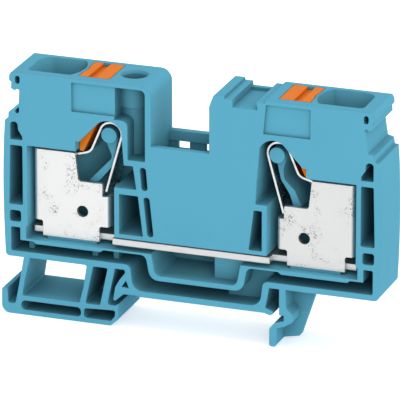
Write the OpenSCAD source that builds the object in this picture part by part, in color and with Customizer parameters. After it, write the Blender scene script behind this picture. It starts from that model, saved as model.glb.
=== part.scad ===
// Feed-through terminal block for a 35 mm mounting rail.
// X runs along the block, Y across it from the open side to the closed side, Z up.
// The origin is at the middle of the box, on the plane that the feet stand on.

/* [Block] */
// Thickness of the block along the rail
block_t = 12; // [11:0.1:14]
// Closed wall at the back
back_wall = 1.1; // [0.8:0.1:1.6]
// Wall in front of the funnels and the pushers
front_wall = 2; // [1.8:0.1:2.4]
// Height of the body's underside above the feet
base_z = 11.75; // [11.5:0.05:14]
// Bottom wall under the long channel
base_wall = 1.15; // [0.8:0.05:1.6]
// Height of the long channel under the frames
channel_h = 2.3; // [1.9:0.05:2.6]
// Thin wall between the channel and the frames
tray_wall = 0.4; // [0.35:0.05:0.8]
// Height of the head over the frames
head_h = 14.5; // [14.2:0.1:16]
// Half length of the solid core between the two inner walls
core_half = 14.35; // [13.5:0.1:16]
// Inner wall beside each frame
inner_wall = 0.95; // [0.6:0.05:1.4]
// Wall between each frame and its end pockets
thin_wall = 0.9; // [0.6:0.05:1.4]
// Width of the pockets in the end walls
end_pocket_w = 2.5; // [1.8:0.1:3.2]
// Outer end wall
end_wall = 1.2; // [0.8:0.1:1.8]
// Outward bow of the end walls
end_bulge = 0.35; // [0.1:0.05:0.6]

/* [Clamping frames] */
// Length of a frame
cage_w = 15.4; // [15.2:0.05:16]
// Height of a frame
cage_h = 17.4; // [17:0.1:18.4]
// Sheet thickness of a frame
cage_t = 0.8; // [0.5:0.1:1]
// Outer bend radius of a frame
cage_bend = 0.9; // [0.85:0.05:1.4]
// Set-back of a frame from the open side
cage_setback = 1.45; // [1.2:0.05:1.6]
// Gap between a frame and its inner wall
cage_gap_in = 1.5; // [1.2:0.05:1.8]
// Gap between a frame and its outer wall
cage_gap_out = 0.8; // [0.6:0.05:1.2]
// Gap between a frame's back and the closed wall
cage_gap_back = 0.3; // [0.1:0.05:0.4]
// Height of a frame above the tray
cage_lift = 0.6; // [0.4:0.05:0.8]
// Gap between a frame's top and the head
cage_head_gap = 0.9; // [0.7:0.05:1.2]
// Height of the low inner part of a frame
ledge_h = 11.8; // [11.5:0.1:12.2]
// Height of the step that takes the spring's straight leg
step_h = 9.25; // [9:0.05:9.4]
// Length of that step
step_w = 1.45; // [1.4:0.05:1.6]
// Height of the corner cut-outs for the current bar
notch_h = 3.1; // [2.9:0.05:3.6]
// Length of the corner cut-outs
corner_cut = 2.11; // [1.8:0.01:2.4]
// Length of the lips that close a frame at the back
cage_lip = 2; // [1.4:0.1:3]
// Radius of the tooling hole in the front plate
tool_hole_r = 1.15; // [0.8:0.05:1.4]
// Height of the tooling hole above the frame's bottom
tool_hole_z = 5.8; // [5.2:0.1:6.6]

/* [Clamping springs] */
// Strip thickness
spring_t = 0.4; // [0.3:0.05:0.6]
// Radius of the post in the spring's loop
post_r = 1.55; // [1.3:0.05:1.6]
// Gap between the post and the loop
loop_gap = 0.45; // [0.4:0.05:0.5]
// Height of the post above the frame compartment
post_rise = 3.45; // [3.4:0.05:3.6]
// Length of the straight leg
leg_len = 11.6; // [11.3:0.05:11.8]
// Length of the upper part of the clamping leg
sleg_len = 5.27; // [5.1:0.01:5.4]
// Set-back of the strip's edge from the open side
spring_setback = 2.4; // [2:0.1:2.8]
// Gap between the strip's other edge and the closed wall
spring_gap_back = 0.9; // [0.6:0.1:1.2]
// Set-back of the ribs under the posts from the open side
rib_setback = 3.8; // [3:0.1:6]

/* [Pushers] */
// Length of a pusher's head
pusher_w = 6.05; // [5.8:0.05:6.2]
// Length of a pusher's stem
stem_w = 3.45; // [3.3:0.05:3.5]
// Free play around a pusher
pusher_gap = 0.15; // [0.1:0.01:0.2]
// Travel of a pusher
pusher_travel = 2.5; // [2:0.1:2.6]
// Width of the screwdriver slot
slot_w = 1.5; // [1:0.1:1.8]
// Depth of the screwdriver slot
slot_d = 0.7; // [0.4:0.05:1]

/* [Wire funnels] */
// Length of a funnel's mouth
funnel_w = 10.2; // [9.8:0.1:10.4]
// Radius of the mouth's bowed end
funnel_arc = 7.5; // [6.5:0.1:9]
// Corner radius of the mouth near the open side
funnel_r = 1; // [0.6:0.1:1.5]
// Corner radius of the mouth near the closed side
funnel_back_r = 2.5; // [1.5:0.1:3]
// Wall between a funnel and its pusher
funnel_wall = 0.45; // [0.3:0.05:0.6]
// Depth of the tapered part
funnel_h = 9.5; // [5:0.1:10]
// Length of the straight wire channel
wire_w = 6.6; // [6:0.1:6.8]
// Width of the straight wire channel
wire_d = 7.5; // [7:0.1:7.8]

/* [Test well] */
// Distance of the test well from the middle of the clamping points
well_u = 13.4; // [13.2:0.05:13.6]
// Radius of the test well
well_r = 2.35; // [2.2:0.05:2.5]
// Radius of the cone at the well's mouth
well_mouth_r = 2.7; // [2.6:0.05:3]
// Radius of the narrow lower part of the test well
well_low_r = 1.95; // [1.8:0.05:2.1]
// Wall of the tube round the test well
well_wall = 1; // [0.8:0.05:1.1]
// Height of the wide part of that tube
well_rim = 5.7; // [5.2:0.1:6.2]
// Depth of the cone at the mouth
well_cone = 0.6; // [0.4:0.1:0.8]
// Reach of the test well into the spring cavity
well_reach = 0.9; // [0.6:0.1:1.5]

/* [Bridge notch] */
// Distance of the notch's left wall from the middle
notch_left = 7.9; // [7.5:0.1:8]
// Distance of the notch's right wall from the middle
notch_right = 3.8; // [3.4:0.1:4.2]
// Depth of the notch
notch_d = 11.8; // [10:0.1:13]
// Depth of the bridge well under the notch
bridge_d = 6.2; // [5:0.1:8]
// Length of a bridge shaft
shaft_w = 2.7; // [2:0.1:3.2]
// Width of a bridge shaft
shaft_d = 5.2; // [4.4:0.1:6]
// Distance of a bridge shaft from the notch's middle
shaft_u = 3; // [2.8:0.1:3.2]

/* [Marker grooves] */
// Depth of the step beside the top groove
step_d = 0.5; // [0.3:0.05:0.8]
// Depth of the top groove
groove_d = 2; // [1.6:0.1:2.4]
// Length of the top groove
groove_w = 4.9; // [4.4:0.05:5.2]
// Depth of the end grooves
end_groove_d = 2.1; // [1.6:0.1:2.3]
// Depth of the label recesses
label_d = 0.5; // [0.2:0.05:0.8]

/* [Rail foot and hook] */
// Offset of the rail's middle from the middle of the clamping points
rail_offset = 1.2; // [1:0.05:1.4]
// Width of the rail
rail_w = 35; // [34.6:0.1:35.4]
// Height of the rail seat above the feet
seat_z = 6.6; // [6.2:0.1:7]
// Wall of the trough over the rail
seat_wall = 1.2; // [1:0.05:1.5]
// Height of the channel under the trough
under_h = 2.55; // [2.2:0.05:2.8]
// Wall between the trough and the channel
trough_wall = 1; // [0.7:0.05:1.2]
// Overhang of the release foot past the end wall
foot_reach = 0.6; // [0.4:0.05:0.8]
// Web thickness in the foot
foot_web = 1.25; // [1:0.05:1.5]
// Thickness of the gusset behind the hook
gusset_t = 1.5; // [1.2:0.1:2]

/* [Current bar] */
// Thickness of the bar
bar_t = 1.25; // [1:0.05:1.4]
// Gap between the bar and the frames' bottom edge
bar_lift = 0.3; // [0.2:0.05:0.4]
// Set-back of the bar's middle from the open side
bar_setback = 0.3; // [0.2:0.05:0.8]
// Set-back of the bar's ends from the open side
bar_end_setback = 2.3; // [2.26:0.02:2.6]
// Reach of the bar past each frame
bar_reach = 0.25; // [0.1:0.05:0.4]
// Set-in of the bar's slots from the bridge shafts' walls
bar_slot_inset = 0.3; // [0.1:0.05:0.5]
// Half length of a seat under the bar
bar_seat_half = 2.4; // [1.6:0.1:2.6]
// Distance of those seats from the middle of the clamping points
bar_seat_u = 12.2; // [11.8:0.1:12.4]
// Half length of a seat under a frame
cage_seat_half = 5; // [3:0.1:5.4]

/* [Hidden] */
$fn = 48;
eps = 0.05;
touch = 0.02;

// Depths across the block, from the open side to the closed side
y_front = -block_t / 2;
y_back = block_t / 2;
y_floor = y_back - back_wall;
y_wall = y_front + front_wall;

// Levels
channel_z = base_z + base_wall;
channel_top = channel_z + channel_h;
tray_z = channel_top + tray_wall;
cage_z = tray_z + cage_lift;
cage_top = cage_z + cage_h;
ceiling_z = cage_top + cage_head_gap;
top_z = ceiling_z + head_h;
bar_z = cage_z + bar_lift;
bar_top = bar_z + bar_t;
core_z = bar_top + 0.35;
ledge_z = cage_z + ledge_h;
notch_z = top_z - notch_d;

// Distances outwards from the middle of the clamping points
mid_x = foot_reach / 2;
room_in = core_half + inner_wall;
cage_in = room_in + cage_gap_in;
cage_out = cage_in + cage_w;
room_out = cage_out + cage_gap_out;
pocket_in = room_out + thin_wall;
pocket_out = pocket_in + end_pocket_w;
end_u = pocket_out + end_wall;
tip_u = end_u - 0.1 + end_bulge * sin(540 / 7);
slant_u = cage_in + 6.95;

// End walls, end grooves and their lips
wall_h = 27.45;
wall_top = base_z + wall_h;
lip_z = top_z - 3.6;
groove_u = end_u - 0.95 - end_groove_d;

// Frame depths
cage_y0 = y_front + cage_setback;
cage_y1 = y_floor - cage_gap_back;
cage_yin0 = cage_y0 + cage_t;
cage_yin1 = cage_y1 - cage_t;

// Post and spring
post = [cage_in + 0.03, ceiling_z + post_rise];
loop_r = post_r + loop_gap + spring_t / 2;
sleg_angle = 22.7;
leg_angle = 195.6;
sleg_out = [cos(sleg_angle), sin(sleg_angle)];
sleg_down = [sin(sleg_angle), -cos(sleg_angle)];
sleg_top = post + loop_r * sleg_out;
leg_top = post + loop_r * [cos(leg_angle), sin(leg_angle)];
leg_end = leg_top + leg_len * [-sin(leg_angle), cos(leg_angle)];
elbow = sleg_top + sleg_len * sleg_down;
tail_slope = -0.296;
neck_u = slant_u - 1.1;
tail_u = cage_out - cage_t - 0.45;
spring_y0 = y_front + spring_setback;
spring_y1 = y_floor - spring_gap_back;

// Spring cavity: a round roof over the loop
roof = post + [-0.23, 0.35];
roof_r = loop_r + spring_t / 2 + 0.6;
roof_top = roof[1] + roof_r;

// Pusher and funnel
pusher_out = slant_u - 0.7;
pusher_in = pusher_out - pusher_w;
stem_in = pusher_out - stem_w;
channel_out = pusher_out + pusher_gap;
channel_floor = roof_top + 0.8;
head_z = channel_floor + pusher_travel + 0.1;
nose_gap = spring_t / 2 + 0.9;
pusher_y0 = y_wall + pusher_gap;
pusher_y1 = y_floor - pusher_gap;
funnel_in = channel_out + 0.2;
funnel_out = funnel_in + funnel_w;
arc_u = funnel_in + funnel_arc;
wire_y = (y_wall + y_floor) / 2;
wire_out = cage_out - cage_t - 0.4;

// Bridge notch and top groove
notch_l = mid_x - notch_left;
notch_r = mid_x + notch_right;
notch_mid = (notch_l + notch_r) / 2;
lead_w = 0.9;
lead_h = 2.4;
lintel_z = notch_z - 2;
groove_l = notch_r + 4.65;
groove_r = groove_l + groove_w;
groove_web_z = top_z - groove_d + 0.65;

// Rail parts
rail_x = mid_x + rail_offset;
rail_l = rail_x - rail_w / 2;
rail_r = rail_x + rail_w / 2;
trough_z = seat_z + seat_wall;
foot_end = mid_x - tip_u - foot_reach;
gusset_y = y_front + 4.5;
web_z = 3.9;

function unit(v) = v / norm(v);

// One corner of an outline, rounded by r with n chords
function corner(a, b, c, r, n = 5) =
    let (
        to_a = unit(a - b),
        to_c = unit(c - b),
        half = acos(max(-1, min(1, to_a * to_c))) / 2,
        room = 0.48 * min(norm(a - b), norm(c - b)),
        run = min(r / tan(half), room),
        rr = run * tan(half),
        centre = b + unit(to_a + to_c) * rr / sin(half),
        from = b + to_a * run - centre,
        to = b + to_c * run - centre,
        start = atan2(from[1], from[0]),
        turn = atan2(from[0] * to[1] - from[1] * to[0], from * to)
    )
    r <= 0 || half > 89.5 ? [b]
    : [for (i = [0:n]) centre + rr * [cos(start + turn * i / n), sin(start + turn * i / n)]];

function flat(p) = [p[0], p[1]];
function radius(p) = len(p) > 2 ? p[2] : 0;

// A closed outline from points [x, z, corner radius]
function rounded(pts) =
    let (n = len(pts))
    [for (i = [0:n - 1])
        each corner(flat(pts[(i + n - 1) % n]), flat(pts[i]), flat(pts[(i + 1) % n]), radius(pts[i]))];

// An open path from points [x, z, corner radius]
function path(pts) =
    let (n = len(pts))
    [for (i = [0:n - 1])
        each i == 0 || i == n - 1 ? [flat(pts[i])]
        : corner(flat(pts[i - 1]), flat(pts[i]), flat(pts[i + 1]), radius(pts[i]), 7)];

// Sideways step of a strip at one point of its path, mitred between two runs
function side(pts, i) =
    let (
        n = len(pts),
        before = unit(pts[max(i, 1)] - pts[max(i, 1) - 1]),
        after = unit(pts[min(i + 1, n - 1)] - pts[min(i + 1, n - 1) - 1]),
        along = unit(before + after)
    )
    [-along[1], along[0]] / max(0.5, along * before);

// The outline of a strip of thickness t along a path
function strip(pts, t) =
    let (n = len(pts))
    concat(
        [for (i = [0:n - 1]) pts[i] + side(pts, i) * t / 2],
        [for (i = [n - 1:-1:0]) pts[i] - side(pts, i) * t / 2]
    );

function arc(centre, r, from, to, n) =
    [for (i = [0:n]) centre + r * [cos(from + (to - from) * i / n), sin(from + (to - from) * i / n)]];

// Extrudes an X-Z outline between two depths
module prism(y0, y1) {
    translate([0, y1, 0])
        rotate([90, 0, 0])
            linear_extrude(y1 - y0) children();
}

// A pocket from the open side to a depth
module pocket(pts, y1) {
    prism(y_front - eps, y1) polygon(rounded(pts));
}

module block(x0, x1, y0, y1, z0, z1) {
    translate([x0, y0, z0]) cube([x1 - x0, y1 - y0, z1 - z0]);
}

module on_right() {
    translate([mid_x, 0, 0]) children();
}

module on_left() {
    translate([mid_x, 0, 0]) mirror([1, 0, 0]) children();
}

// One end of the body from its bottom corner to the top: bowed wall, groove and lip
function end_profile(groove) =
    concat(
        [[end_u - 0.1, base_z, 0.8]],
        [for (i = [1:6]) [end_u - 0.1 + end_bulge * sin(180 * i / 7), base_z + wall_h * i / 7]],
        [[end_u - 0.2, wall_top]],
        groove,
        [
            [groove_u + 0.35, lip_z + 0.25],
            [end_u - 2.25, lip_z - 0.1, 0.2],
            [end_u - 1.5, lip_z + 0.3, 0.2],
            [end_u - 1.6, lip_z + 1.5],
            [end_u - 1.15, lip_z + 1.95],
            [end_u - 1.15, lip_z + 2.8, 0.3],
            [end_u - 1.55, top_z, 0.4]
        ]
    );

// Outline of the body without its feet
module body_outline() {
    left_end = end_profile([
        [end_u - 0.9, wall_top + 0.6],
        [end_u - 0.95, wall_top + 1.65],
        [groove_u, wall_top + 3.55, 0.2],
        [groove_u - 0.15, lip_z + 0.15, 0.25]
    ]);
    right_end = end_profile([
        [end_u - 0.95, wall_top + 0.05],
        [end_u - 1.15, wall_top + 1.35],
        [groove_u + 0.7, wall_top + 1.7],
        [groove_u, lip_z + 0.15, 0.25]
    ]);
    n = len(right_end);
    top = [
        [notch_l - 1.2, top_z, 2.1],
        [notch_l, top_z - 1.5, 2.1],
        [notch_l, notch_z],
        [notch_r, notch_z],
        [notch_r, top_z - lead_h, 0.8],
        [notch_r + lead_w, top_z, 0.4],
        [notch_r + 3, top_z],
        [notch_r + 3, top_z - step_d],
        [groove_l - 0.05, top_z - step_d],
        [groove_l, groove_web_z],
        [groove_r, groove_web_z],
        [groove_r - 0.25, top_z - step_d],
        [groove_r + 1.5, top_z - step_d],
        [groove_r + 1.5, top_z]
    ];
    under = [
        [rail_x + 14.65, base_z],
        [rail_x + 13.9, seat_z + 1.05],
        [rail_x + 15.5, seat_z + 0.45, 0.2],
        [rail_x + 15.4, seat_z - 0.05, 0.2],
        [rail_x + 14.8, seat_z - 0.35, 0.3],
        [rail_x + 13.7, seat_z],
        [rail_x - 11.4, seat_z],
        [rail_x - 13, seat_z + 0.3],
        [rail_x - 14.5, base_z]
    ];
    polygon(rounded(concat(
        [for (p = left_end) [mid_x - p[0], p[1], radius(p)]],
        top,
        [for (i = [n - 1:-1:0]) [mid_x + right_end[i][0], right_end[i][1], radius(right_end[i])]],
        under
    )));
}

// The release foot: lug, bottom rail, webs and rail hook
module foot_outline() {
    join = base_z + 0.5;
    difference() {
        polygon(rounded([
            [foot_end + 4.7, join],
            [foot_end + 3.55, 6],
            [foot_end + 2.9, 2.6],
            [foot_end + 2.7, 2.05, 0.4],
            [foot_end + foot_web + 0.05, 2.05, 0.4],
            [foot_end + foot_web - 0.1, 5.05, 0.2],
            [foot_end + 0.05, 5.05, 0.3],
            [foot_end, 0, 1.7],
            [rail_l + 0.1, 0, 0.6],
            [rail_l + 1.7, 1.4, 0.9],
            [rail_l + 1.7, 4.6, 0.1],
            [rail_l + 1.1, 4.2, 0.3],
            [rail_l - 0.55, 4.2, 0.5],
            [rail_l + 1, base_z - 0.3],
            [rail_l + 1.1, join]
        ]));
        polygon(rounded([
            [foot_end + 4.2, web_z, 0.2],
            [foot_end + 4.7, 7],
            [foot_end + 5.8, base_z, 0.2],
            [rail_l - 4.65, base_z, 0.4],
            [rail_l - 5.4, 7],
            [rail_l - 6.2, web_z, 0.2]
        ]));
    }
}

// Blind pockets in the foot: one between the webs, two in the bottom rail
module foot_pockets() {
    pocket([
        [rail_l - 5, web_z, 0.3],
        [rail_l - 3.4, base_z - 0.1, 0.4],
        [rail_l - 0.4, base_z - 0.1, 0.3],
        [rail_l - 2, web_z, 0.3]
    ], y_floor);
    pocket([
        [foot_end + 3.95, 1, 0.9],
        [foot_end + 3.95, web_z - 1, 0.9],
        [rail_l - 5.9, web_z - 1, 0.8],
        [rail_l - 5.9, 1, 0.8]
    ], y_floor);
    pocket([
        [rail_l - 5.35, 0.95, 0.7],
        [rail_l - 5.35, web_z - 1, 0.7],
        [rail_l + 1.1, web_z - 0.7, 0.4],
        [rail_l + 1, 2, 0.3],
        [rail_l + 0.2, 0.95, 0.5]
    ], y_floor);
}

// The spring finger that presses on the rail's edge
module finger_outline() {
    difference() {
        polygon(rounded([
            [rail_x - 14.4, base_z + 0.4],
            [rail_l + 3.1, base_z - 0.7, 0.4],
            [rail_l + 2, 9.6],
            [rail_l + 1.1, 8],
            [rail_l + 0.7, 5.3, 0.15],
            [rail_l + 1.15, 5.25, 0.15],
            [rail_l + 2.8, 6.75],
            [rail_x - 12.6, seat_z + 0.2],
            [rail_x - 12.8, base_z + 0.4]
        ]));
        polygon([
            [rail_l + 3.3, 9.6],
            [rail_l + 2.4, 8.2],
            [rail_l + 3.9, 8.1]
        ]);
    }
}

// The fixed hook on the other edge of the rail
module hook_outline() {
    polygon(rounded([
        [rail_r - 0.85, base_z + 0.5],
        [rail_r - 0.85, seat_z - 0.1],
        [rail_r + 0.1, seat_z - 0.1],
        [rail_r + 0.1, seat_z - 1.2],
        [rail_r - 1.8, seat_z - 1.8, 0.4],
        [rail_r - 2.8, seat_z - 3, 0.8],
        [rail_r - 2.8, 0, 0.5],
        [rail_r - 1.4, 0, 0.6],
        [rail_r - 1.3, seat_z - 2.8, 0.2],
        [rail_r + 0.2, seat_z - 2.35],
        [rail_r + 2, seat_z - 1.2, 0.8],
        [rail_r + 1.8, seat_z + 0.2, 0.6],
        [rail_r + 0.5, seat_z + 1.6, 0.6],
        [rail_r + 0.4, base_z + 0.5]
    ]));
}

// The web that stiffens the hook
module gusset_outline() {
    polygon(rounded([
        [rail_r - 0.2, base_z + 0.5],
        [rail_r + 0.25, seat_z + 1.3],
        [rail_r + 1.2, seat_z - 0.5],
        [rail_r - 0.5, seat_z - 2.1],
        [rail_r - 1.9, seat_z - 3.2],
        [rail_r - 1.9, 0.45],
        [rail_r - 1.4, 0.45],
        [rail_r + 1.9, 1.1, 0.5],
        [rail_r + 5.6, base_z + 0.5]
    ]));
}

// The long channel under both frames and round the trough
module channel_outline() {
    low = channel_top - 0.45;
    bulk_in = cage_in + 1.4;
    bulk_out = cage_out - 0.9;
    roof_half = [for (s = [-1, 1]) [
        [mid_x + s * pocket_out, channel_z, 0.3],
        [mid_x + s * pocket_out, channel_z + 4.85, 0.3],
        [mid_x + s * (pocket_in + 0.6), channel_z + 4.85, 0.2],
        [mid_x + s * (pocket_in + 0.6), channel_top, 0.1],
        [mid_x + s * (bulk_out + 0.6), channel_top],
        [mid_x + s * bulk_out, low],
        [mid_x + s * bulk_in, low],
        [mid_x + s * (bulk_in - 0.6), channel_top],
        [rail_x + s * 10.2, channel_top, 1.2],
        [rail_x + s * 9.3, trough_z + under_h, 2]
    ]];
    floor_half = [for (s = [-1, 1]) [
        [rail_x + s * 12.8, trough_z, 2.2],
        [rail_x + s * 13.4, channel_z, 1.1]
    ]];
    n = len(roof_half[0]);
    polygon(rounded(concat(
        roof_half[0],
        [for (i = [n - 1:-1:0]) roof_half[1][i]],
        [floor_half[1][1], floor_half[1][0], floor_half[0][0], floor_half[0][1]]
    )));
}

// The trough under the bar
module trough_outline() {
    trough_floor = trough_z + under_h + trough_wall;
    polygon(rounded([
        [rail_x - 9.1, tray_z + 0.1],
        [rail_x - 8.3, trough_floor, 1.3],
        [rail_x + 8.1, trough_floor, 1.3],
        [rail_x + 8.9, tray_z + 0.1]
    ]));
}

// Frame compartment and spring cavity of one side
module clamp_room(waist_u, waist_z, low_u) {
    pocket(concat(
        [
            [room_in, tray_z, 0.15],
            [room_out + 0.35, tray_z, 0.2],
            [room_out + 0.35, core_z - 0.1],
            [room_out, core_z + 0.1],
            [room_out, ceiling_z, 0.1],
            [channel_out - 0.1, ceiling_z],
            [channel_out - 0.1, ceiling_z + 2],
            [channel_out - 0.8, ceiling_z + 2]
        ],
        arc(roof, roof_r, 37, 157, 12),
        [
            [post[0] - 3.5, waist_z],
            [waist_u, waist_z],
            [low_u, ledge_z + 0.2, 0.15],
            [room_in, ledge_z + 0.2]
        ]
    ), y_floor);
}

// Blind pockets in the end wall and the head of one side
module end_pockets() {
    pocket([
        [pocket_in, ceiling_z + 0.95, 0.2],
        [pocket_in, ceiling_z + 1.65, 0.2],
        [pocket_in + 0.85, ceiling_z + 3, 0.8],
        [pocket_in + 0.95, ceiling_z + 4.55, 0.7],
        [pocket_out - 0.05, ceiling_z + 4.55, 0.7],
        [pocket_out - 0.05, ceiling_z + 0.95, 0.2]
    ], y_floor);
    pocket([
        [pocket_in, tray_z + 6.75, 0.3],
        [pocket_in, ceiling_z - 0.2, 0.3],
        [pocket_out, ceiling_z - 0.2, 0.3],
        [pocket_out + 0.3, tray_z + 6.75, 0.3]
    ], y_floor);
    pocket([
        [pocket_in + 0.4, tray_z + 3.25, 0.5],
        [pocket_in + 0.4, tray_z + 5.55, 0.5],
        [pocket_out + 0.2, tray_z + 5.55, 0.5],
        [pocket_out + 0.2, tray_z + 3.25, 0.5]
    ], y_floor);
    pocket([
        [end_u - 3.28, top_z - 2.3, 0.47],
        [end_u - 3.28, top_z - 0.7, 0.47],
        [end_u - 2.33, top_z - 0.7, 0.47],
        [end_u - 2.33, top_z - 2.3, 0.47]
    ], y_wall + 5);
}

// Small pocket under the left end groove
module groove_pocket() {
    pocket([
        [end_u - 3.1, top_z - 6.8, 0.1],
        [end_u - 3.1, top_z - 8, 0.1],
        [end_u - 2.6, top_z - 8.3, 0.1],
        [end_u - 2.2, top_z - 7.8, 0.1]
    ], y_wall);
}

// Tapered wire funnel and the straight channel under it
module wire_entry() {
    bow = asin((y_floor - y_wall) / 2 / funnel_arc);
    hull() {
        translate([0, 0, top_z])
            linear_extrude(eps)
                polygon(concat(
                    arc([arc_u, wire_y], funnel_arc, 180 + bow, 180 - bow, 10),
                    arc([funnel_out - funnel_back_r, y_floor - funnel_back_r], funnel_back_r, 90, 0, 6),
                    arc([funnel_out - funnel_r, y_wall + funnel_r], funnel_r, 0, -90, 4)
                ));
        wire_hole(top_z - funnel_h, eps);
    }
    wire_hole(ceiling_z - eps, head_h - funnel_h + 2 * eps);
}

module wire_hole(z, h) {
    r = 0.6;
    translate([0, 0, z])
        linear_extrude(h)
            polygon(rounded([
                [wire_out - wire_w, wire_y - wire_d / 2, r],
                [wire_out, wire_y - wire_d / 2, r],
                [wire_out, wire_y + wire_d / 2, r],
                [wire_out - wire_w, wire_y + wire_d / 2, r]
            ]));
}

// Channel of one pusher: head, then stem, bowed round the funnel
module pusher_channel() {
    difference() {
        union() {
            block(pusher_in - pusher_gap, channel_out, y_wall, y_floor, channel_floor, top_z + eps);
            block(stem_in - pusher_gap, channel_out, y_wall, y_floor, ceiling_z - eps, top_z);
        }
        translate([arc_u, wire_y, 0]) cylinder(r = funnel_arc + funnel_wall, h = top_z + 1);
    }
}

module label_recess() {
    label_top = top_z - 0.8;
    label_low = top_z - 6.6;
    pocket([
        [pusher_in - 2.45, label_low, 0.1],
        [pusher_in - 1.9, label_top, 0.1],
        [pusher_out + 0.8, label_top, 0.1],
        [pusher_out + 0.8, label_low, 0.1]
    ], y_front + label_d);
}

// The test well in the left head, and the window that shows the tube round it
module test_well() {
    window_top = top_z - 0.8;
    window_in = well_u - 4.35;
    window_out = well_u + 1.85;
    window_low = ceiling_z - 0.5;
    hump_u = well_u - 0.83;
    hump_z = roof_top + 0.45;
    rim_z = top_z - well_rim;
    bore_z = rim_z + well_wall;
    low_z = roof_top - well_reach;
    difference() {
        pocket([
            [window_out, hump_z],
            [window_out, window_top],
            [window_in, window_top, 1],
            [window_in, window_low, 0.2],
            [hump_u, window_low, 0.2],
            [hump_u, hump_z, 1.6]
        ], wire_y);
        translate([well_u, wire_y, rim_z]) cylinder(r = well_r + well_wall, h = well_rim);
        translate([well_u, wire_y, window_low - eps]) cylinder(r = well_low_r + well_wall, h = head_h);
    }
    translate([well_u, wire_y, top_z - well_cone])
        cylinder(r1 = well_r, r2 = well_mouth_r, h = well_cone + eps);
    translate([well_u, wire_y, bore_z]) cylinder(r = well_r, h = top_z - bore_z);
    translate([well_u, wire_y, low_z]) cylinder(r = well_low_r, h = bore_z - low_z + eps);
}

// Blind pocket in the core beside one inner wall
module core_pocket(top_u, low_u) {
    pocket([
        [core_half, core_z + 0.8, 0.2],
        [core_half, ledge_z - 1.05, 0.2],
        [top_u, ledge_z - 1.05, 0.25],
        [low_u, core_z + 0.8, 0.2]
    ], y_floor);
}

module slanted_slot(u, z0, z1, lean) {
    w = 1.25;
    pocket([
        [u, z0, 0.6],
        [u + w, z0, 0.6],
        [u + w + lean, z1, 0.6],
        [u + lean, z1, 0.6]
    ], y_floor);
}

// The two shafts that a cross-connector reaches the bar through, drawn in by an inset
module bridge_shafts(inset, z0, z1) {
    half_x = shaft_w / 2 - inset;
    half_y = shaft_d / 2 - inset;
    for (s = [-1, 1])
        block(notch_mid + s * shaft_u - half_x, notch_mid + s * shaft_u + half_x, -half_y, half_y, z0, z1);
}

// The bridge well under the notch, its two shafts and the windows in the back wall
module bridge_well() {
    well_front = y_front + 1.2;
    well_floor = notch_z - bridge_d;
    block(notch_l, notch_r, well_front, y_floor - 0.4, well_floor, notch_z + eps);
    block(notch_l, notch_r, well_front, y_floor, well_floor, lintel_z);
    bridge_shafts(0, core_z - eps, notch_z);
    for (x = [notch_mid - 4.35, notch_mid + 1.25])
        block(x, x + 2.45, y_floor - eps, y_back + eps, lintel_z - 1.8, lintel_z - 0.1);
}

// The spring's post and the curved rib under it, its outline given from the post's middle
module post_and_rib(rib) {
    translate([post[0], 0, post[1]]) {
        prism(cage_y0, y_floor + eps) circle(post_r);
        prism(y_front + rib_setback, y_floor + eps) polygon(rounded(rib));
    }
}

// Seats under the bar and the frames, and the small webs in the channel and the foot
module housing_webs() {
    cage_u = cage_in + cage_w / 2;
    for (s = [-1, 1]) {
        block(mid_x + s * bar_seat_u - bar_seat_half, mid_x + s * bar_seat_u + bar_seat_half,
            y_front + bar_end_setback, y_floor + eps, tray_z - eps, bar_z - touch);
        block(mid_x + s * cage_u - cage_seat_half, mid_x + s * cage_u + cage_seat_half,
            cage_y0 + 0.15, y_floor + eps, tray_z - eps, cage_z - touch);
    }
    block(rail_x + 2.7, rail_x + 8.8, y_front + 3, y_floor + eps, trough_z + under_h + 0.45, bar_z - touch);
    block(rail_x + 5, rail_x + 14, y_front + 4.5, y_floor + eps, trough_z - eps, channel_top + eps);
    for (x = [mid_x - cage_out - 1.45, mid_x - cage_in - 3.9, mid_x - room_in - 1.1])
        block(x, x + 1.1, y_front + 2.5, y_floor + eps, channel_z - eps, channel_top + eps);
    prism(y_front + 8, y_floor + eps)
        polygon(strip([[rail_l - 4.8, web_z], [rail_l - 0.7, base_z]], 0.6));
}

module housing() {
    color([0.37, 0.68, 0.8]) {
        difference() {
            union() {
                prism(y_front, y_back) {
                    body_outline();
                    foot_outline();
                    finger_outline();
                    hook_outline();
                }
                prism(gusset_y, gusset_y + gusset_t) gusset_outline();
            }
            prism(y_front - eps, y_floor) {
                channel_outline();
                trough_outline();
            }
            block(mid_x - room_in - eps, mid_x + room_in + eps, y_front - eps, y_floor, tray_z, core_z);
            block(groove_l, groove_r, y_front - eps, y_floor, top_z - groove_d, groove_web_z + eps);
            foot_pockets();
            on_left() {
                clamp_room(core_half - 2.85, post[1] - 5.1, core_half - 3.55);
                test_well();
                groove_pocket();
                core_pocket(core_half - 3.85, core_half - 4.85);
                slanted_slot(core_half - 5.85, ledge_z + 0.2, ledge_z + 4.8, 0.4);
                slanted_slot(core_half - 7, core_z + 0.9, ledge_z - 1.1, 0.85);
                clamp_cuts();
            }
            on_right() {
                clamp_room(post[0] - 3.55, post[1] - 5.1, core_half - 1.3);
                core_pocket(core_half - 1.65, core_half - 2.65);
                clamp_cuts();
            }
            bridge_well();
        }
        on_left()
            post_and_rib([
                [post_r - 0.1, 0],
                [post_r - 0.1, -2.1, 0.8],
                [0.15, -5.2, 1],
                [4.95, -10.4],
                [3.2, -10.6],
                [0.2, -7, 1],
                [0.5 - post_r, -1]
            ]);
        on_right()
            post_and_rib([
                [post_r - 0.1, 0],
                [0.5, -3.4, 1.5],
                [0.55, -5.3, 1.5],
                [2.8, -7.5, 2],
                [4.15, -10.7],
                [2.6, -10.7],
                [1.7, -8.2, 2],
                [0, -5.6, 2],
                [0.5 - post_r, -1]
            ]);
        housing_webs();
    }
}

// The cuts that both sides share
module clamp_cuts() {
    end_pockets();
    wire_entry();
    pusher_channel();
    label_recess();
}

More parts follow.
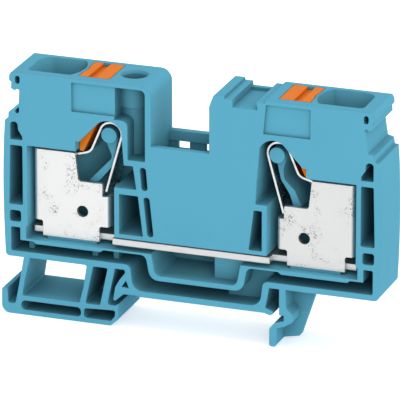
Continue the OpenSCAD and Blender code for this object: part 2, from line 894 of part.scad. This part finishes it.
// One clamping frame: sheet bent round on itself, cut to the side profile and open at the back
module cage() {
    inner_bend = cage_bend - cage_t;
    foot_out = cage_out - corner_cut + 0.29;
    color([0.86, 0.87, 0.87])
        difference() {
            intersection() {
                translate([0, 0, cage_z - eps])
                    linear_extrude(cage_h + 2 * eps)
                        difference() {
                            polygon(rounded([
                                [cage_in, cage_y0, cage_bend],
                                [cage_out, cage_y0, cage_bend],
                                [cage_out, cage_y1, cage_bend],
                                [cage_in, cage_y1, cage_bend]
                            ]));
                            polygon(rounded([
                                [cage_in + cage_t, cage_yin0, inner_bend],
                                [cage_out - cage_t, cage_yin0, inner_bend],
                                [cage_out - cage_t, cage_yin1, inner_bend],
                                [cage_in + cage_t, cage_yin1, inner_bend]
                            ]));
                        }
                prism(cage_y0 - eps, cage_y1 + eps)
                    polygon(rounded([
                        [cage_in + corner_cut, cage_z],
                        [foot_out, cage_z],
                        [foot_out, cage_z + notch_h, 0.45],
                        [cage_out + eps, cage_z + notch_h],
                        [cage_out + eps, cage_top],
                        [slant_u, cage_top, 0.2],
                        [slant_u - 0.62, ledge_z, 0.6],
                        [cage_in + step_w, ledge_z, 0.2],
                        [cage_in + step_w, cage_z + step_h],
                        [cage_in - eps, cage_z + step_h],
                        [cage_in - eps, cage_z + notch_h],
                        [cage_in + corner_cut, cage_z + notch_h, 0.45]
                    ]));
            }
            block(cage_in + cage_lip, cage_out - cage_lip, cage_yin1 - eps, cage_y1 + eps,
                cage_z - eps, cage_top + eps);
            translate([cage_in + 5.48, cage_yin0 + eps, cage_z + tool_hole_z])
                rotate([90, 0, 0]) cylinder(r = tool_hole_r, h = cage_t + 2 * eps);
        }
}

// One clamping spring: straight leg, loop and S-leg, with a narrow tail in the frame
module spring() {
    neck = [neck_u, elbow[1] + tail_slope * (neck_u - elbow[0])];
    tail_end = [tail_u, elbow[1] + tail_slope * (tail_u - elbow[0])];
    loop = arc(post, loop_r, sleg_angle, leg_angle, 28);
    wide = concat(path([neck, [elbow[0], elbow[1], 2.2], sleg_top]), [for (i = [1:28]) loop[i]], [leg_end]);
    color([0.9, 0.9, 0.9]) {
        prism(spring_y0, spring_y1) polygon(strip(wide, spring_t));
        prism(cage_yin0 + 0.2, cage_yin1 - 0.2)
            polygon(strip([tail_end, neck + [-eps, -eps * tail_slope]], spring_t));
    }
}

// One release pusher, with its slot for a screwdriver
module pusher() {
    nose_top = sleg_top + nose_gap * sleg_out + 1.2 * sleg_down;
    nose_tip = elbow + [1.35, 0.05];
    slot_u = pusher_in + 2.75;
    color([0.93, 0.5, 0.18])
        difference() {
            prism(pusher_y0, pusher_y1)
                polygon(rounded([
                    [pusher_in, head_z, 0.2],
                    [pusher_in, top_z],
                    [pusher_out, top_z],
                    [pusher_out, ceiling_z - 0.5, 0.3],
                    [nose_tip[0], nose_tip[1], 0.3],
                    nose_top,
                    [stem_in, nose_top[1] + 1.4],
                    [stem_in, head_z]
                ]));
            translate([arc_u, wire_y, 0])
                cylinder(r = funnel_arc + funnel_wall + pusher_gap, h = top_z + 1);
            block(slot_u, slot_u + slot_w, pusher_y0 - eps, pusher_y1 + eps, top_z - slot_d, top_z + eps);
        }
}

// The current bar: wide in the middle, narrow where it runs through the frames
module current_bar() {
    wide_u = room_in + 0.5;
    end_reach = cage_out + bar_reach;
    bar_y1 = cage_yin1 - eps;
    color([0.84, 0.85, 0.85])
        difference() {
            union() {
                block(mid_x - wide_u, mid_x + wide_u, y_front + bar_setback, bar_y1, bar_z, bar_top);
                block(mid_x - end_reach, mid_x + end_reach, y_front + bar_end_setback, bar_y1,
                    bar_z, bar_top);
            }
            bridge_shafts(bar_slot_inset, bar_z - eps, bar_top + eps);
        }
}

module left_cage() {
    on_left() cage();
}

module right_cage() {
    on_right() cage();
}

module left_spring() {
    on_left() spring();
}

module right_spring() {
    on_right() spring();
}

module left_pusher() {
    on_left() pusher();
}

module right_pusher() {
    on_right() pusher();
}

housing();
left_cage();
right_cage();
left_spring();
right_spring();
current_bar();
left_pusher();
right_pusher();
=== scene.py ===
import math

import bpy
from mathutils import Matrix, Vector


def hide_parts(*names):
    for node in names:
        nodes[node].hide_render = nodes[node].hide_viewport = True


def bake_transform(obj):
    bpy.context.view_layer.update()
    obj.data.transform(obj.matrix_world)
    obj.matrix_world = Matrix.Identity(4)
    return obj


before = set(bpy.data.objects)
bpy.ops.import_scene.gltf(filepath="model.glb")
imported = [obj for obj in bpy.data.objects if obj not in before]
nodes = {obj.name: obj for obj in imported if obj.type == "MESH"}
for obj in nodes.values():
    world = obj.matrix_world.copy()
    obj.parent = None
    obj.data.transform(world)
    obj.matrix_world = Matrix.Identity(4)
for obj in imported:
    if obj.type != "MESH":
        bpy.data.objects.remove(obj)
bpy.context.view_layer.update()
mm = 0.001
print("frame loaded", len(nodes), "nodes")

# shared by all finishes
creviceSamples = 8
bevelSamples = 6
fineDetail = 2
grainDepth = 0.02 * mm
edgeAngle = 32  # degrees, sharper folds stay crisp


def newMaterial(name):
    material = bpy.data.materials.new(name)
    material.use_nodes = True
    tree = material.node_tree
    shader = tree.nodes["Principled BSDF"]
    return material, tree, shader


def addNoise(tree, scale, detail=3, roughness=0.5, squeeze=(1, 1, 1)):
    place = tree.nodes.new("ShaderNodeTexCoord")
    stretch = tree.nodes.new("ShaderNodeMapping")
    stretch.inputs["Scale"].default_value = squeeze
    noise = tree.nodes.new("ShaderNodeTexNoise")
    noise.inputs["Scale"].default_value = scale
    noise.inputs["Detail"].default_value = detail
    noise.inputs["Roughness"].default_value = roughness
    tree.links.new(place.outputs["Object"], stretch.inputs["Vector"])
    tree.links.new(stretch.outputs["Vector"], noise.inputs["Vector"])
    return noise.outputs["Fac"]


def addRange(tree, value, low, high, fromLow=0.3, fromHigh=0.7):
    node = tree.nodes.new("ShaderNodeMapRange")
    node.inputs["From Min"].default_value = fromLow
    node.inputs["From Max"].default_value = fromHigh
    node.inputs["To Min"].default_value = low
    node.inputs["To Max"].default_value = high
    tree.links.new(value, node.inputs["Value"])
    return node.outputs["Result"]


def addMix(tree, factor, first, second):
    node = tree.nodes.new("ShaderNodeMix")
    node.data_type = "RGBA"
    node.inputs["A"].default_value = (*first, 1)
    node.inputs["B"].default_value = (*second, 1)
    tree.links.new(factor, node.inputs["Factor"])
    return node.outputs["Result"]


def addMath(tree, operation, first, second):
    node = tree.nodes.new("ShaderNodeMath")
    node.operation = operation
    tree.links.new(first, node.inputs[0])
    tree.links.new(second, node.inputs[1])
    return node.outputs[0]


def addPaintedShade(tree, factor, shade, surface):
    # paints shade: turns a colour to a painted shade colour where the factor falls to zero
    node = tree.nodes.new("ShaderNodeMix")
    node.data_type = "RGBA"
    node.inputs["A"].default_value = (*shade, 1)
    tree.links.new(surface, node.inputs["B"])
    tree.links.new(factor, node.inputs["Factor"])
    return node.outputs["Result"]


def addShadeMask(tree, reach, span, alone):
    # one in the open, zero deep in a corner or a pocket: the mask for painted shade
    crevice = tree.nodes.new("ShaderNodeAmbientOcclusion")
    crevice.samples = creviceSamples
    crevice.only_local = alone
    crevice.inputs["Distance"].default_value = reach
    return addRange(tree, crevice.outputs["AO"], 0, 1, *span)


def addSurface(tree, shader, grain, look):
    # softened edges under a fine grain, which also breaks up the gloss
    bevel = tree.nodes.new("ShaderNodeBevel")
    bevel.samples = bevelSamples
    bevel.inputs["Radius"].default_value = look["edge"]
    bump = tree.nodes.new("ShaderNodeBump")
    bump.inputs["Strength"].default_value = look["grain"]
    bump.inputs["Distance"].default_value = grainDepth
    tree.links.new(grain, bump.inputs["Height"])
    tree.links.new(bevel.outputs["Normal"], bump.inputs["Normal"])
    tree.links.new(bump.outputs["Normal"], shader.inputs["Normal"])
    tree.links.new(addRange(tree, grain, *look["roughness"]), shader.inputs["Roughness"])


def plasticMaterial(look):
    material, tree, shader = newMaterial(look["name"])
    clouds = addRange(tree, addNoise(tree, look["cloudScale"]), 0, 1)
    tone = addMix(tree, clouds, look["tone"], look["paleTone"])
    # painted shade: a warmer, greyer tone where the moulding lies deep in a wide hollow
    hollowShadeMask = addShadeMask(tree, look["hollowReach"], look["hollowSpan"], look["alone"])
    tone = addPaintedShade(tree, hollowShadeMask, look["hollowShadeTint"], tone)
    # painted shade: darker in corners and narrow pockets, where shade falls
    crevice = addShadeMask(tree, look["reach"], look["creviceSpan"], look["alone"])
    tone = addPaintedShade(tree, crevice, look["shade"], tone)
    tree.links.new(tone, shader.inputs["Base Color"])
    shader.inputs["IOR"].default_value = look["ior"]
    shader.inputs["Specular IOR Level"].default_value = look["gloss"]
    grain = addNoise(tree, look["grainScale"], fineDetail)
    addSurface(tree, shader, grain, look)
    return material


def metalMaterial(look):
    material, tree, shader = newMaterial(look["name"])
    specks = addNoise(tree, look["speckScale"], fineDetail, look["speckRoughness"], look["squeeze"])
    specks = addRange(tree, specks, 1, 0, *look["speckSpan"])
    clusters = addNoise(tree, look["clusterScale"])
    clusters = addRange(tree, clusters, 0, 1, *look["clusterSpan"])
    blotches = addMath(tree, "MULTIPLY", specks, clusters)
    tone = addMix(tree, blotches, look["bright"], look["dark"])
    tree.links.new(tone, shader.inputs["Base Color"])
    shader.inputs["Metallic"].default_value = look["metallic"]
    grain = addNoise(tree, look["grainScale"], fineDetail, squeeze=look["squeeze"])
    addSurface(tree, shader, grain, look)
    return material


def dress(piece, material, angle=edgeAngle):
    piece.data.materials.clear()
    piece.data.materials.append(material)
    piece.data.shade_smooth()
    piece.data.set_sharp_from_angle(angle=math.radians(angle))


# housing: blue moulding
housingLook = {
    "name": "blue plastic",
    "tone": (0.11, 0.415, 0.576),
    "paleTone": (0.116, 0.427, 0.592),
    "hollowShadeTint": (0.132, 0.412, 0.518),  # painted shade: a warmer, greyer tone in wide hollows
    "hollowReach": 20 * mm,
    "hollowSpan": (0.25, 0.95),
    "shade": (0.055, 0.178, 0.236),  # painted shade in corners and narrow pockets
    "reach": 7 * mm,
    "creviceSpan": (0.05, 0.9),
    "alone": True,  # only the moulding itself darkens its painted shade
    "cloudScale": 70,
    "ior": 1.5,
    "gloss": 0.02,
    "roughness": (0.55, 0.65),
    "grainScale": 5200,
    "grain": 0.12,
    "edge": 0.16 * mm,
}
dress(nodes["housing"], plasticMaterial(housingLook))
print("housing dressed")

# pushers: orange mouldings
pusherLook = {
    "name": "orange plastic",
    "tone": (0.845, 0.205, 0.0124),
    "paleTone": (0.885, 0.221, 0.0158),
    # painted shade: a tone for the pusher's hollows
    "hollowShadeTint": (0.845, 0.22, 0.0176),
    "hollowReach": 6 * mm,
    "hollowSpan": (0.25, 0.95),
    # painted shade in the pusher's corners and gaps
    "shade": (0.55, 0.126, 0.0143),
    "reach": 1.8 * mm,
    "creviceSpan": (0.05, 0.8),
    "alone": False,  # the walls round a pusher darken its painted shade too
    "cloudScale": 120,
    "ior": 1.5,
    "gloss": 0.05,
    "roughness": (0.42, 0.52),
    "grainScale": 5200,
    "grain": 0.1,
    "edge": 0.12 * mm,
}
pusherMaterial = plasticMaterial(pusherLook)
for name in ("left_pusher", "right_pusher"):
    dress(nodes[name], pusherMaterial)
print("pushers dressed")

# clamping frames: tin-plated sheet with grey blotches
cageLook = {
    "name": "tinned sheet",
    "bright": (0.725, 0.725, 0.72),
    "dark": (0.2, 0.2, 0.21),
    "speckScale": 3000,
    "speckRoughness": 0.6,
    "speckSpan": (0.38, 0.46),
    "clusterScale": 230,
    "clusterSpan": (0.52, 0.64),
    "squeeze": (1, 1, 1),
    "metallic": 0.85,
    "roughness": (0.36, 0.5),
    "grainScale": 3000,
    "grain": 0.15,
    "edge": 0.14 * mm,
}
# painted shade: the right frame's sheet is the same tin as the left one, painted darker to stand
# for the dimmer light it reflects
rightCageShadedLook = {
    **cageLook,
    "name": "tinned sheet, painted darker",
    "bright": (0.63, 0.63, 0.625),
}
dress(nodes["left_cage"], metalMaterial(cageLook))
dress(nodes["right_cage"], metalMaterial(rightCageShadedLook))

# current bar: tin-plated, drawn along its length
barLook = {
    "name": "tinned bar",
    "bright": (0.6, 0.6, 0.595),
    "dark": (0.48, 0.48, 0.48),
    "speckScale": 1600,
    "speckRoughness": 0.6,
    "speckSpan": (0.3, 0.5),
    "clusterScale": 200,
    "clusterSpan": (0.4, 0.7),
    "squeeze": (0.15, 1, 1),
    "metallic": 0.9,
    "roughness": (0.3, 0.42),
    "grainScale": 2600,
    "grain": 0.1,
    "edge": 0.28 * mm,
}
dress(nodes["current_bar"], metalMaterial(barLook))
print("frames and bar dressed")

# clamping springs: bright strip
springLook = {
    "name": "spring steel",
    "bright": (0.68, 0.68, 0.68),
    "dark": (0.5, 0.5, 0.51),
    "speckScale": 900,
    "speckRoughness": 0.6,
    "speckSpan": (0.3, 0.6),
    "clusterScale": 260,
    "clusterSpan": (0.3, 0.7),
    "squeeze": (1, 0.2, 1),
    "metallic": 1.0,
    "roughness": (0.2, 0.3),
    "grainScale": 3000,
    "grain": 0.08,
    "edge": 0.08 * mm,
    "edgeAngle": 40,
    "legStart": 4.0 * mm,  # out from the strip's inner end, where it starts to follow the pusher
    "legEnd": 6.6 * mm,  # from here on it goes all the way with it
}
springMaterial = metalMaterial(springLook)


def bendingSpring(node):
    # a copy of the strip in spring steel, shown in place of the hidden original
    piece = bpy.data.objects.new(node + "_strip", nodes[node].data.copy())
    bpy.context.scene.collection.objects.link(piece)
    dress(piece, springMaterial, springLook["edgeAngle"])
    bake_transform(piece)
    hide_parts(node)


bendingSpring("left_spring")
bendingSpring("right_spring")
print("springs dressed")


def addSeen(tree):
    # one where a surface is seen by the camera, mirrored or through glass, else zero
    rays = tree.nodes.new("ShaderNodeLightPath")
    seen = addMath(tree, "MAXIMUM", rays.outputs["Is Camera Ray"], rays.outputs["Is Glossy Ray"])
    return addMath(tree, "MAXIMUM", seen, rays.outputs["Is Transmission Ray"])


# floor: white paper
floorLook = {
    "name": "white floor",
    "size": 6.0,
    "drop": 0.02 * mm,  # keeps it out of the plane that the feet stand on
    "tone": (0.96, 0.96, 0.96),
    "paleTone": (0.97, 0.97, 0.97),
    "paperScale": 40,
    "roughness": 0.9,
    "gloss": 0.0,
    "glowTone": (1, 1, 1, 1),
    "glow": 0.5,  # whitens what is seen of it and doesn't light the block
}
bpy.ops.mesh.primitive_plane_add(size=floorLook["size"], location=(0, 0, -floorLook["drop"]))
floor = bpy.context.object
floor.name = "floor"
floorMaterial, floorTree, floorShader = newMaterial(floorLook["name"])
paper = addRange(floorTree, addNoise(floorTree, floorLook["paperScale"], fineDetail), 0, 1)
floorTone = addMix(floorTree, paper, floorLook["tone"], floorLook["paleTone"])
floorTree.links.new(floorTone, floorShader.inputs["Base Color"])
floorShader.inputs["Roughness"].default_value = floorLook["roughness"]
floorShader.inputs["Specular IOR Level"].default_value = floorLook["gloss"]
floorShader.inputs["Emission Color"].default_value = floorLook["glowTone"]
floorGlow = addRange(floorTree, addSeen(floorTree), 0, floorLook["glow"], 0, 1)
floorTree.links.new(floorGlow, floorShader.inputs["Emission Strength"])
floor.data.materials.append(floorMaterial)

# surround: a white dome for light, and a white backdrop that is seen
surroundLook = {
    "tone": (1, 1, 1, 1),
    "dome": 0.69,
    "backdrop": 1.0,
}
world = bpy.data.worlds.new("studio")
bpy.context.scene.world = world
world.use_nodes = True
worldTree = world.node_tree
dome = worldTree.nodes["Background"]
dome.inputs["Color"].default_value = surroundLook["tone"]
dome.inputs["Strength"].default_value = surroundLook["dome"]
backdrop = worldTree.nodes.new("ShaderNodeBackground")
backdrop.inputs["Color"].default_value = surroundLook["tone"]
backdrop.inputs["Strength"].default_value = surroundLook["backdrop"]
pick = worldTree.nodes.new("ShaderNodeMixShader")
worldTree.links.new(addSeen(worldTree), pick.inputs["Fac"])
worldTree.links.new(dome.outputs["Background"], pick.inputs[1])
worldTree.links.new(backdrop.outputs["Background"], pick.inputs[2])
worldTree.links.new(pick.outputs["Shader"], worldTree.nodes["World Output"].inputs["Surface"])
print("floor and surround set")

# camera at the photograph's angle
cameraLook = {
    "target": Vector((2.3, -6.0, 27.76)) * mm,
    "back": Vector((0.3165, -0.8855, 0.3400)),  # from the target to the camera
    "distance": 1118.9 * mm,
    "sensor": 36.0,
    "lens": 533.7,
    "clipStart": 0.05,
}
target = cameraLook["target"]
viewBack = cameraLook["back"].normalized()
camera = bpy.data.objects.new("camera", bpy.data.cameras.new("camera"))
bpy.context.scene.collection.objects.link(camera)
camera.data.sensor_width = cameraLook["sensor"]
camera.data.lens = cameraLook["lens"]
camera.data.clip_start = cameraLook["clipStart"]
camera.location = target + viewBack * cameraLook["distance"]
camera.rotation_euler = viewBack.to_track_quat("Z", "Y").to_euler()
bpy.context.scene.camera = camera
bpy.context.scene.view_settings.view_transform = "Standard"
print("camera set")

# softboxes, each at an offset from the camera's target and turned to it
softboxLook = {
    "key": {"offset": (0.45, -0.85, 0.28), "size": 0.6, "power": 2.5},
    "top": {"offset": (0.15, -0.05, 0.92), "size": 0.6, "power": 1.4},
    "side": {"offset": (0.92, -0.20, 0.30), "size": 0.5, "power": 0.8},
}
for name, look in softboxLook.items():
    lamp = bpy.data.lights.new(name, "AREA")
    lamp.shape = "DISK"
    lamp.size = look["size"]
    lamp.energy = look["power"]
    softbox = bpy.data.objects.new(name, lamp)
    bpy.context.scene.collection.objects.link(softbox)
    offset = Vector(look["offset"])
    softbox.location = target + offset
    softbox.rotation_euler = offset.to_track_quat("Z", "Y").to_euler()
print("softboxes set")
